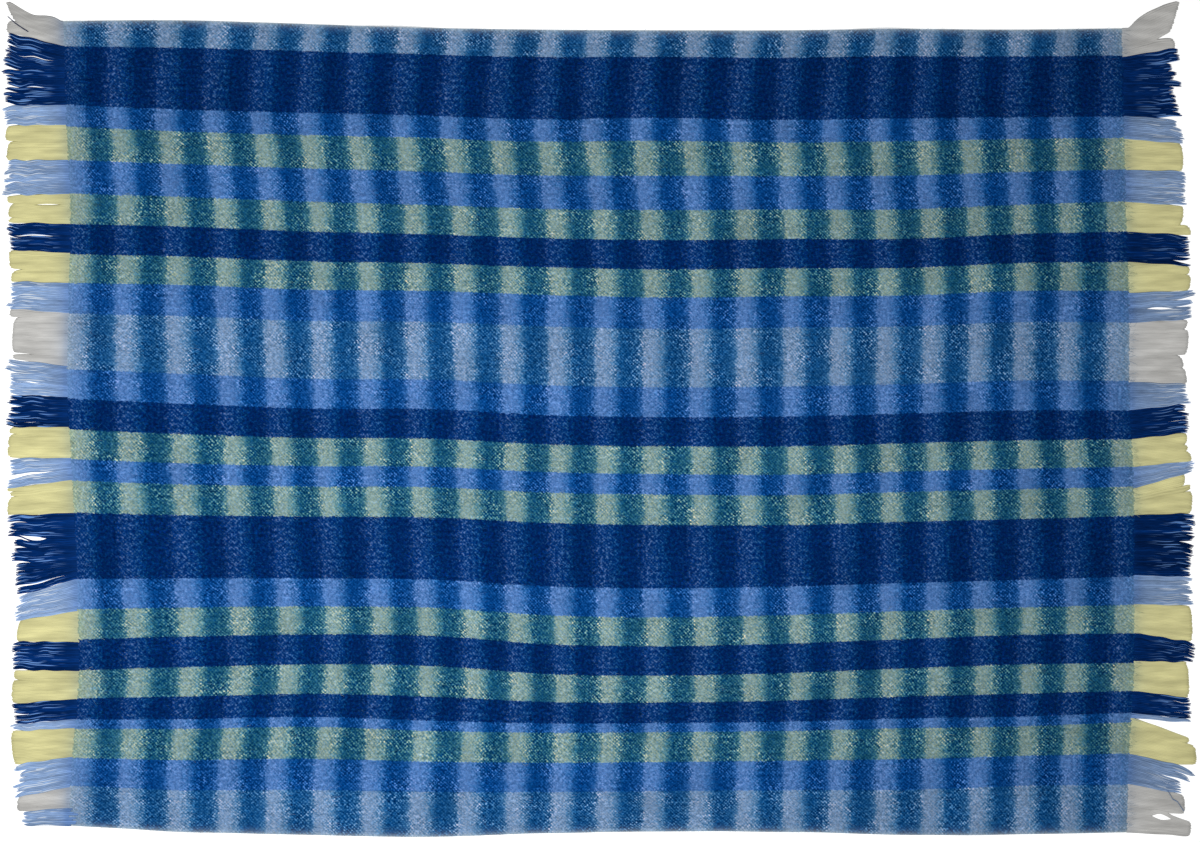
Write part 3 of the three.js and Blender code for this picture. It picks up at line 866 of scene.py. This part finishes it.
def warp_yarn(dye, colour):
    """Loose woollen warp yarn: matt and hairy, each yarn lighter or darker, with painted shade and painted
    highlights on hairs.
    """
    material, tree, shader = new_material(f"{dye}_warp_yarn")
    dull, bright, hair_contrast, painted_shade_contrast = YARN_TONES[dye]
    place = node(tree, "UVMap", uv_map=THREADS)
    hair = streaks(tree, place, 0.015, 0.0015, 2.0)
    # Soft painted shading along the locks, for their ridges and folds
    painted_shade_cloud = streaks(tree, node(tree, "TexCoord", out="Object"), 0.055, 0.011, 1.0)  # soft shades along locks
    tone = node(tree, "Attribute", out="Fac", attribute_name=TONE)
    light = node(tree, "MapRange", {"Value": tone, "To Min": dull, "To Max": bright})
    for noise, depth in ((hair, hair_contrast), (painted_shade_cloud, painted_shade_contrast)):
        varied = node(tree, "MapRange", {
            "Value": noise, "From Min": 0.3, "From Max": 0.7, "To Min": 1 - depth, "To Max": 1 + depth,
        })
        light = node(tree, "Math", (light, varied), operation="MULTIPLY")
    loose = tuple(part * tint for part, tint in zip(colour, LOOSE_TINTS.get(dye, (1.0, 1.0, 1.0))))
    dyed = node(tree, "VectorMath", {0: loose, "Scale": light}, operation="SCALE")
    # Painted highlights: streaks of hairs that catch the light, growing towards the tips
    if dye in PAINTED_HAIR_HIGHLIGHTS:
        streak = streaks(tree, place, 0.040, 0.0031, 0.0)  # drawn wide to show
        most = node(tree, "Attribute", out="Fac", attribute_name=PALE)
        cover = node(tree, "MapRange", {"Value": streak, "From Min": 0.63, "From Max": 0.66, "To Max": most})
        pale = (*PAINTED_HAIR_HIGHLIGHTS[dye], 1.0)
        dyed = node(tree, "Mix", {"Factor": cover, 6: dyed, 7: pale}, out=2, data_type="RGBA")

    # Near the weave the yarns carry some of the light weft's colour
    hairs = tuple(math.sqrt(few * many) for few, many in zip(LIGHT_FEW_HAIRS, LIGHT_MANY_HAIRS))
    blue = node(tree, "VectorMath", (dyed, LIGHT_TINT, hairs), operation="MULTIPLY_ADD")
    woven = node(tree, "Attribute", out="Fac", attribute_name=WOVEN)
    blued = node(tree, "Mix", {"Factor": woven, 6: dyed, 7: blue}, out=2, data_type="RGBA")
    bump = node(tree, "Bump", {"Height": hair, "Strength": 0.3, "Distance": 0.4 * MM})
    feed(tree, shader, {
        "Base Color": blued, "Normal": bump, "Roughness": 0.92, "Specular IOR Level": 0.01,
    })
    return material


def studio_floor():
    """Opal light table: white, matt and faintly lit from below, so that shadows on it stay weak."""
    material, tree, shader = new_material("opal_light_table")
    place = node(tree, "TexCoord", out="Object")
    grain = node(tree, "TexNoise", {"Vector": place, "Scale": 1 / 0.004, "Detail": 2.0})
    bump = node(tree, "Bump", {"Height": grain, "Strength": 0.05, "Distance": 0.2 * MM})
    feed(tree, shader, {
        "Base Color": (*linear("#f5f5f4"), 1.0), "Normal": bump, "Roughness": 0.9, "Specular IOR Level": 0.1,
        "Emission Color": (1.0, 1.0, 1.0, 1.0), "Emission Strength": 0.4,
    })
    return material


# Pieces


def make_cloth(sizes, colours):
    """The woven sheet: a grid laid along the threads, then given its thickness."""
    columns = round(sizes.woven_length / sizes.cell)
    rows = round(sizes.woven_width / sizes.cell)
    bpy.ops.object.select_all(action="DESELECT")
    bpy.ops.mesh.primitive_grid_add(x_subdivisions=columns, y_subdivisions=rows, size=1.0)
    cloth = bpy.context.object
    cloth.name = cloth.data.name = "plaid_cloth"
    mesh = cloth.data
    flat = np.empty(len(mesh.vertices) * 3, np.float32)
    mesh.vertices.foreach_get("co", flat)
    flat = flat.reshape(-1, 3).astype(float)
    u = flat[:, 0] * sizes.woven_length
    v = flat[:, 1] * sizes.woven_width
    points = lay(u / MM, v / MM) * MM
    lumps = np.zeros(len(flat))
    for seed, (size, height) in enumerate(LUMPS, 1):
        lumps += soft_noise(points[:, 0], points[:, 1], size * MM, seed) * height
    from_end = (sizes.woven_length / 2 - np.abs(u)) / MM
    rise = lumps * np.clip(from_end / LUMPS_START, 0, 1)
    drop = END_DROP * np.clip(1 - from_end / END_DROP_LENGTH, 0, 1)
    points[:, 2] += sizes.thickness + (rise - drop) * MM
    mesh.vertices.foreach_set("co", points.astype(np.float32).ravel())
    set_map(mesh, THREADS, np.stack([u, v], -1)[corner_vertices(mesh)])
    for layer in [x for x in mesh.uv_layers if x.name != THREADS]:
        mesh.uv_layers.remove(layer)
    mesh.shade_smooth()

    only(cloth)
    solidify = cloth.modifiers.new("thickness", "SOLIDIFY")
    solidify.thickness = sizes.thickness - FLOOR_GAP * MM
    solidify.offset = -1.0
    bpy.ops.object.modifier_apply(modifier=solidify.name)
    mesh.set_sharp_from_angle(angle=math.radians(60))

    woven = np.empty(len(mesh.loops) * 2, np.float32)
    mesh.uv_layers[THREADS].uv.foreach_get("vector", woven)
    share = woven.reshape(-1, 2) / (sizes.woven_length, sizes.woven_width)
    under = corner_vertices(mesh) >= len(flat)
    share[under] *= 0.994  # the rim's lower edge lies a little further in, so that it has width on the map
    set_map(mesh, BAKE_MAP, share * 0.99 + 0.5)
    mesh.materials.append(brushed_plaid_twill(sizes, colours))
    return cloth


def make_nap(index, sizes, material):
    """A part of the nap: fibres combed along the warp, each a thin bent spindle rooted in the weave."""
    random = np.random.default_rng(NAP_SEED + index)
    count = sizes.nap_fibres
    u = random.uniform(-0.5, 0.5, count) * sizes.woven_length
    v = random.uniform(-0.5, 0.5, count) * (sizes.woven_width - sizes.nap_length / 2)
    turn = random.normal(0.0, NAP_TURN, count)
    length = sizes.nap_length * random.uniform(*NAP_LENGTHS, count)
    lift = sizes.nap_lift * random.uniform(*NAP_LIFTS, count)
    half = random.uniform(*NAP_HALF_WIDTHS, count) * MM
    bend = random.normal(0.0, NAP_BEND, count) * length
    along = np.stack([np.cos(turn), np.sin(turn)], -1)
    aside = np.stack([-along[:, 1], along[:, 0]], -1)

    place = lay(u / MM, v / MM) * MM
    root = place.copy()
    root[:, 2] += sizes.thickness - NAP_ROOT * MM
    middle = place.copy()
    middle[:, :2] += along * (length / 2)[:, None] + aside * bend[:, None]
    middle[:, 2] += sizes.thickness + lift
    tip = place.copy()
    tip[:, :2] += along * length[:, None]
    tip[:, 2] += sizes.thickness + lift * random.uniform(*NAP_TIPS, count)

    wide = np.concatenate([aside * half[:, None], np.zeros((count, 1))], 1)
    tall = np.array([0.0, 0.0, 1.0]) * half[:, None] * NAP_FLATNESS
    points = np.stack([root, middle + wide, middle + tall, middle - wide, tip], 1)
    pattern = np.array([(0, 1, 2), (0, 2, 3), (0, 3, 1), (4, 2, 1), (4, 3, 2), (4, 1, 3)])
    each = points.shape[1]
    faces = (np.arange(count)[:, None, None] * each + pattern).reshape(-1, 3)
    piece = new_piece(f"nap_{index}", points.reshape(-1, 3), faces.tolist())
    mesh = piece.data
    corners = corner_vertices(mesh)
    set_map(mesh, THREADS, np.stack([u, v], -1)[corners // each])
    set_values(mesh, TONE, np.repeat(random.uniform(*NAP_TONES, count), each))

    # Each fibre has its own small cell on the bake's map
    side = math.ceil(math.sqrt(count))
    cell = np.stack([np.arange(count) % side, np.arange(count) // side], -1)
    spots = np.array([(0.1, 0.5), (0.5, 0.1), (0.5, 0.5), (0.5, 0.9), (0.9, 0.5)])
    set_map(mesh, BAKE_MAP, (cell[corners // each] + spots[corners % each]) / side)
    mesh.materials.append(material)
    return piece


class Lock(NamedTuple):
    """A group of yarns of one dye, between two parting lines, and how it lies."""

    end: int
    dye: str
    felted: bool
    corner: bool
    straggles: bool
    top: tuple
    bottom: tuple
    reach: float
    tone: float
    lean: float
    wave: tuple


class Strand(NamedTuple):
    """Yarns of a lock that lie together, between two edges."""

    top: tuple
    bottom: tuple
    share: float
    members: int
    uneven: float
    tone: float


def parting_lines(groups, root_top, corner, early):
    """Lines between groups: root, tip and gap there, in mm, where the gap opens, and the line's course."""
    lines = [(root_top, groups[0][2], 0.0, GAP_OPENS, corner)]
    for i, (dye, root, tip_from, tip_to, reach) in enumerate(groups):
        next_from = groups[i + 1][2] if i + 1 < len(groups) else tip_to
        opens = early.get(root, GAP_OPENS)
        lines.append((root, (tip_to + next_from) / 2, next_from - tip_to, opens, STRAIGHT))
    return lines


def line_at(line, swing, side):
    """How far below FRINGE_TOP a parting line runs, with half of its gap on this side."""
    root, tip, gap, opens, course = line
    places, shares = zip(*course)
    opened = np.maximum(0, (swing - opens) / (1 - opens))
    return root + (tip - root) * (curve_weights(places, swing) @ np.array(shares)) + side * opened * gap / 2


def part_slits(x, y):
    """Pushes points of a yarn out of the slits."""
    for from_x, from_y, to_x, to_y, opening in SLITS:
        t = np.clip((x - from_x) / (to_x - from_x), 0, 1)
        off = y - (from_y + (to_y - from_y) * t)
        side = 1 if off[np.argmin(np.abs(t - 0.5))] > 0 else -1
        push = opening / 2 * np.sin(np.pi * t) ** SLIT_BLUNTNESS
        y = y + side * push * np.clip(1 - np.abs(off) / SLIT_REACH, 0, 1)
    return y


def wave_at(along, length, start, height):
    """How far a wave moves points aside."""
    return height * np.sin(2 * math.pi * (along / length + start))


def strand_edges(end, strands, dye, random):
    """Edges of a group's strands, from the first to the last: place, gap, its start and end, and a wave."""
    edges = []
    for k in range(strands + 1):
        inside = 0 < k < strands
        place = (k + (random.uniform(-EDGE_STRAY, EDGE_STRAY) if inside else 0.0)) / strands
        gap = random.uniform(*STRAND_GAPS[dye]) if inside and random.random() < STRANDS_APART[end] else 0.0
        start, finish = random.uniform(*GAP_STARTS), random.uniform(*GAP_ENDS)
        height = random.uniform(*EDGE_WAVE_HEIGHTS) if inside else 0.0
        edges.append((place, gap, start, finish, height, random.uniform(*EDGE_WAVE_LENGTHS), random.random()))
    return edges


def edge_at(edge, along, settled, side):
    """How far an edge of a strand lies from its even place, with half of its gap on this side."""
    place, gap, start, finish, height, length, wave_start = edge
    opened = np.sin(np.pi * np.clip((settled - start) / (finish - start), 0, 1)) ** GAP_POINTEDNESS
    return wave_at(along, length, wave_start, height * settled) + side * gap * opened / 2


def lay_yarn(lock, strand, k, sizes, random):
    """One yarn: centre line, half widths and heights in mm, dye, tones, and shares of weft and painted hair
    highlights.
    """
    end, dye, felted = lock.end, lock.dye, lock.felted
    t = np.linspace(0, 1, YARN_RINGS)
    inner = (k + 0.5) / strand.members
    share = strand.top[0] + strand.share * inner
    from_middle = 2 * share - 1

    # How far it reaches, from its root in the weave to its tip
    span = lock.bottom[0] - lock.top[0]
    v = FRINGE_TOP - lock.top[0] - span * share - CLOTH_CENTRE_Y
    root_x = end * lay(np.array([end * sizes.woven_length / 2 / MM]), np.array([v]))[0, 0]
    if felted:
        rounding = 0.0 if lock.corner and share < 0.5 else TIPS_ROUNDING * from_middle ** 4
        uneven = lock.lean * from_middle - rounding + random.normal(0.0, TIPS_UNEVEN[dye])
    else:
        uneven = lock.lean * from_middle + strand.uneven + random.normal(0.0, LOOSE_TIPS_UNEVEN)
    depth = random.uniform(*(STRAGGLING_DEPTH if lock.straggles else ROOT_DEPTH))
    along = -depth + (lock.reach + uneven - root_x + depth) * t
    past_root = np.maximum(along, 0)
    swing = past_root / FULL_REACH
    settled = np.minimum(swing, 1)

    # Where it lies between its lock's parting lines and its strand's edges
    top = line_at(lock.top, swing, 1)
    bottom = line_at(lock.bottom, swing, -1)
    point = STRAND_POINTS[dye] * np.clip((t - POINTS_START) / (1 - POINTS_START), 0, 1) ** POINTS_POWER
    over = edge_at(strand.top, along, settled, 1) + point
    under = edge_at(strand.bottom, along, settled, -1) - point
    below = top + (bottom - top) * share + over * (1 - inner) + under * inner
    wave = wave_at(along, *lock.wave)
    wave += wave_at(
        along, height=random.uniform(*OWN_WAVE_HEIGHTS), length=random.uniform(*OWN_WAVE_LENGTHS),
        start=random.random(),
    )
    x = end * (root_x + along)
    y = part_slits(x, FRINGE_TOP - below + wave * settled)

    # How wide and high it is, and how it comes down to the floor
    room = ((bottom - top) * strand.share + under - over) / strand.members
    taper = 1 - TAPER * np.clip((t - TAPER_START) / (1 - TAPER_START), 0, 1) ** 2
    wide = np.clip(room * WIDTH_SHARES[felted], *HALF_WIDTHS) * taper
    sunk = ROOT_THINNESS + (1 - ROOT_THINNESS) * np.clip((along + depth) / ROOT_RISE, 0, 1)
    high = HALF_HEIGHTS[felted] * random.uniform(*HEIGHTS_VARY) * taper * sunk
    lift = FELTED_DOME * (1 - from_middle ** 2) if felted else random.uniform(0.0, LOOSE_LIFT)
    lying = high + lift * (1 - SETTLING * settled)
    z = lying + (ROOT_HEIGHT - lying) * np.exp(-past_root / DROP_LENGTH)
    if lock.straggles:
        z += STRAGGLING_LIFT * np.clip(-along / ROOT_RISE, 0, 1)

    tone = np.full(YARN_RINGS, lock.tone + random.normal(0.0, YARN_TONES_VARY[felted]))
    if not felted:
        tone += strand.tone
    if dye == "periwinkle":
        tone += PALER_TIPS[end] * (t ** 2 - PALER_MEAN)
    woven = WOVEN_SHARES[dye][end > 0] * np.exp(-past_root / WOVEN_FADE)
    # How far painted highlights cover the hairs along the yarn
    highlight_from, highlight_to, most = HIGHLIGHT_GROWTH[end]
    pale = most * np.clip((t - highlight_from) / (highlight_to - highlight_from), 0, 1)
    return np.stack([x, y, z], -1), wide, high, DYES.index(dye), np.clip(tone, 0, 1), woven, pale


def fringe_yarns(end, groups, lines, sizes, random):
    """Every yarn of one fringe's locks, as lay_yarn gives it."""
    yarns = []
    wave = None
    for i, (dye, root, tip_from, tip_to, reach) in enumerate(groups):
        felted, corner = dye in FELTED, i == 0
        widest = max(lines[i + 1][0] - lines[i][0], tip_to - tip_from)
        count = max(2, round(widest * MM / sizes.yarn_pitch))
        strands = 1 if felted else max(1, round(count / STRAND_YARNS))
        edges = strand_edges(end, strands, dye, random)
        tone = CORNER_TONES_AND_SHADE[end] if corner else random.uniform(*GROUP_TONES)
        if end > 0:
            # Painted light at the right end: felted yarns are made brighter and loose ones duller, for how
            # the light falls there
            tone += RIGHT_END_PAINTED_LIGHT[felted]
        lean = CORNER_LEAN if corner else random.uniform(-TIPS_LEAN, TIPS_LEAN)
        new_wave = random.uniform(*WAVE_LENGTHS), random.random(), random.uniform(*WAVE_HEIGHTS[felted])
        if corner or dye != groups[i - 1][0]:  # neighbours of one dye wave together
            wave = new_wave
        straggles = (end, root) == STRAGGLING
        lock = Lock(end, dye, felted, corner, straggles, lines[i], lines[i + 1], reach, tone, lean, wave)
        for top, bottom in zip(edges, edges[1:]):
            uneven = random.normal(0.0, TIPS_UNEVEN[dye])
            strand_tone = random.normal(0.0, STRAND_TONES_VARY)
            share = bottom[0] - top[0]
            strand = Strand(top, bottom, share, max(1, round(share * count)), uneven, strand_tone)
            yarns += [lay_yarn(lock, strand, k, sizes, random) for k in range(strand.members)]
    return yarns


def stray_yarns(end):
    """The yarns of one end that lie across their neighbours, as lay_yarn gives the others."""
    t = np.linspace(0, 1, YARN_RINGS)
    none = np.zeros(YARN_RINGS)
    yarns = []
    for stray_end, dye, points in STRAY_YARNS:
        if stray_end == end:
            x, y = (np.interp(t, np.linspace(0, 1, len(points)), places) for places in zip(*points))
            path = np.stack([x, y, none + STRAY_HEIGHT], -1)
            thin = none + STRAY_THICK / 2
            yarns.append((path, thin, thin, DYES.index(dye), none + STRAY_TONE, none, none))
    return yarns


def make_fringe(name, end, groups, lines, sizes, materials, seed):
    """One fringe: a tube for each warp yarn, closed at both ends."""
    random = np.random.default_rng(seed)
    yarns = fringe_yarns(end, groups, lines, sizes, random) + stray_yarns(end)
    paths, widths, heights, dyes, tones, woven, pale = (np.array(part) for part in zip(*yarns))
    count = len(paths)
    angle = 2 * math.pi * np.arange(YARN_SIDES) / YARN_SIDES
    ring = np.zeros((count, YARN_RINGS, YARN_SIDES, 3))
    ring[..., 1] = widths[:, :, None] * np.cos(angle)
    ring[..., 2] = heights[:, :, None] * np.sin(angle)
    tube = paths[:, :, None, :] + ring
    caps = paths[:, (0, -1)]
    caps[:, 0] -= (end * ROOT_POINT, 0.0, ROOT_DIP)
    caps[:, 1, 0] += end * TIP_POINT
    points = np.concatenate([tube.reshape(count, -1, 3), caps], 1) * MM

    each = YARN_RINGS * YARN_SIDES + 2
    i, j = np.meshgrid(np.arange(YARN_RINGS - 1), np.arange(YARN_SIDES), indexing="ij")
    rings = np.stack([i, i, i + 1, i + 1], -1).reshape(-1, 4)
    sides = np.stack([j, j + 1, j + 1, j], -1).reshape(-1, 4)
    quads = rings * YARN_SIDES + sides % YARN_SIDES
    side = np.arange(YARN_SIDES)
    last = (YARN_RINGS - 1) * YARN_SIDES
    root_cap = np.stack([np.full(YARN_SIDES, each - 2), (side + 1) % YARN_SIDES, side], -1)
    tip_cap = np.stack([np.full(YARN_SIDES, each - 1), last + side, last + (side + 1) % YARN_SIDES], -1)
    faces = []
    for k in range(count):
        for pattern in (quads, root_cap, tip_cap):
            faces.extend((pattern + k * each).tolist())
    piece = new_piece(name, points.reshape(-1, 3), faces)
    mesh = piece.data
    mesh.shade_smooth()
    for layer, values in ((TONE, tones), (WOVEN, woven), (PALE, pale)):
        around = np.repeat(values, YARN_SIDES, axis=1)
        set_values(mesh, layer, np.concatenate([around, values[:, (0, -1)]], 1))

    # Along and around each yarn, face corner by face corner, so that the seam stays open on the map
    cap_along = np.concatenate([np.zeros((YARN_SIDES, 3)), np.full((YARN_SIDES, 3), YARN_RINGS - 1.0)])
    cap_around = np.concatenate([
        np.stack([side + 0.5, side + 1, side], -1), np.stack([side + 0.5, side, side + 1], -1),
    ])
    cap_along[:YARN_SIDES, 0] -= 0.5
    cap_along[YARN_SIDES:, 0] += 0.5
    run = np.concatenate([rings.ravel(), cap_along.ravel()]) + 0.5
    turn = np.concatenate([sides.ravel(), cap_around.ravel()])
    on_yarn = np.tile(np.stack([run / YARN_RINGS, turn / YARN_SIDES], -1), (count, 1))
    yarn = np.repeat(np.arange(count), len(run))
    set_map(mesh, THREADS, on_yarn * YARN_MAP + yarn[:, None] * np.array(YARN_MAP_STEP))
    cell = np.stack([yarn % BAKE_COLUMNS, yarn // BAKE_COLUMNS], -1)
    spot = on_yarn * (0.96, 0.9) + (0.02, 0.05)  # with a margin in each yarn's cell
    set_map(mesh, BAKE_MAP, (cell + spot) / (BAKE_COLUMNS, math.ceil(count / BAKE_COLUMNS)))
    for material in materials:
        mesh.materials.append(material)
    mesh.polygons.foreach_set("material_index", np.repeat(dyes, len(faces) // count).astype(np.int32))

    only(piece)
    bpy.ops.object.mode_set(mode="EDIT")
    bpy.ops.mesh.select_all(action="SELECT")
    bpy.ops.mesh.normals_make_consistent(inside=False)
    bpy.ops.object.mode_set(mode="OBJECT")
    return piece


# Operators


class THROW_OT_stage(bpy.types.Operator):
    """Sets the pale floor, the soft studio light and the camera above the throw."""

    bl_idname = "throw.stage"
    bl_label = "Stage"

    def execute(self, context):
        scene = context.scene
        bpy.ops.object.select_all(action="DESELECT")
        bpy.ops.mesh.primitive_plane_add(size=FLOOR_SIZE, location=(0.0, 0.0, 0.0))
        floor = context.object
        floor.name = floor.data.name = "floor"
        floor.data.materials.append(studio_floor())

        world = bpy.data.worlds.new("studio")
        world.use_nodes = True
        backdrop = world.node_tree.nodes["Background"]
        feed(world.node_tree, backdrop, {"Color": (1.0, 1.0, 1.0, 1.0), "Strength": BACKDROP_STRENGTH})
        scene.world = world
        bpy.ops.object.light_add(type="AREA", location=SOFTBOX_PLACE)
        softbox = context.object
        softbox.name = "softbox"
        softbox.data.shape = "RECTANGLE"
        softbox.data.size, softbox.data.size_y = SOFTBOX_SIZE
        softbox.data.energy = SOFTBOX_WATTS
        softbox.visible_camera = False

        distance = VIEW_WIDTH * LENS_MM / SENSOR_MM
        bpy.ops.object.camera_add(location=(0.0, 0.0, distance), rotation=(0.0, 0.0, 0.0))
        camera = context.object
        camera.data.lens = LENS_MM
        camera.data.sensor_width = SENSOR_MM
        camera.data.sensor_fit = "HORIZONTAL"
        camera.data.clip_end = CLIP_END
        scene.camera = camera
        scene.view_settings.view_transform = "Standard"
        return {"FINISHED"}


class THROW_OT_fringes(bpy.types.Operator):
    """Makes the fringe of loose warp yarns at each end."""

    bl_idname = "throw.fringes"
    bl_label = "Fringes"

    def execute(self, context):
        sizes, colours = context.scene.throw_sizes, context.scene.throw_colours
        materials = [warp_yarn(dye, getattr(colours, dye)) for dye in DYES]
        left = parting_lines(LEFT_LOCKS, LEFT_ROOT_TOP, LEFT_CORNER, LEFT_GAPS)
        right = parting_lines(RIGHT_LOCKS, RIGHT_ROOT_TOP, RIGHT_CORNER, RIGHT_GAPS)
        ends = (("left", -1, LEFT_LOCKS, left), ("right", 1, RIGHT_LOCKS, right))
        for seed, (side, end, groups, lines) in enumerate(ends):
            fringe = make_fringe(f"yarn_fringe_{side}", end, groups, lines, sizes, materials, seed)
            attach(fringe, BODY)
            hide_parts(f"fringe_{side}")
        return {"FINISHED"}


class THROW_OT_nap(bpy.types.Operator):
    """Brushes up the nap, in three pieces."""

    bl_idname = "throw.nap"
    bl_label = "Nap"

    def execute(self, context):
        sizes, colours = context.scene.throw_sizes, context.scene.throw_colours
        material = combed_nap(sizes, colours)
        for index in range(NAP_PIECES):
            piece = make_nap(index, sizes, material)
            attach(piece, BODY)
        return {"FINISHED"}


class THROW_OT_cloth(bpy.types.Operator):
    """Weaves the plaid cloth and lays it out flat."""

    bl_idname = "throw.cloth"
    bl_label = "Cloth"

    def execute(self, context):
        sizes, colours = context.scene.throw_sizes, context.scene.throw_colours
        cloth = make_cloth(sizes, colours)
        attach(cloth, BODY)
        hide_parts("blanket_cloth")
        return {"FINISHED"}


class THROW_PT_sidebar(bpy.types.Panel):
    """Lists the throw's sizes, dyes and pieces."""

    bl_idname = "THROW_PT_sidebar"
    bl_label = "Plaid Throw"
    bl_space_type = "VIEW_3D"
    bl_region_type = "UI"
    bl_category = "Throw"

    def draw(self, context):
        for group in (context.scene.throw_sizes, context.scene.throw_colours):
            box = self.layout.box()
            for name in group.__annotations__:
                box.prop(group, name)
        for operator in OPERATORS:
            self.layout.operator(operator.bl_idname)


OPERATORS = (THROW_OT_stage, THROW_OT_fringes, THROW_OT_nap, THROW_OT_cloth)
CLASSES = (ThrowSizes, ThrowColours, *OPERATORS, THROW_PT_sidebar)


def register():
    for item in CLASSES:
        bpy.utils.register_class(item)
    bpy.types.Scene.throw_sizes = PointerProperty(type=ThrowSizes)
    bpy.types.Scene.throw_colours = PointerProperty(type=ThrowColours)


def unregister():
    del bpy.types.Scene.throw_colours
    del bpy.types.Scene.throw_sizes
    for item in reversed(CLASSES):
        bpy.utils.unregister_class(item)


def main():
    register()
    bpy.ops.throw.stage()
    bpy.ops.throw.fringes()
    bpy.ops.throw.nap()
    bpy.ops.throw.cloth()


if __name__ == "__main__":
    main()
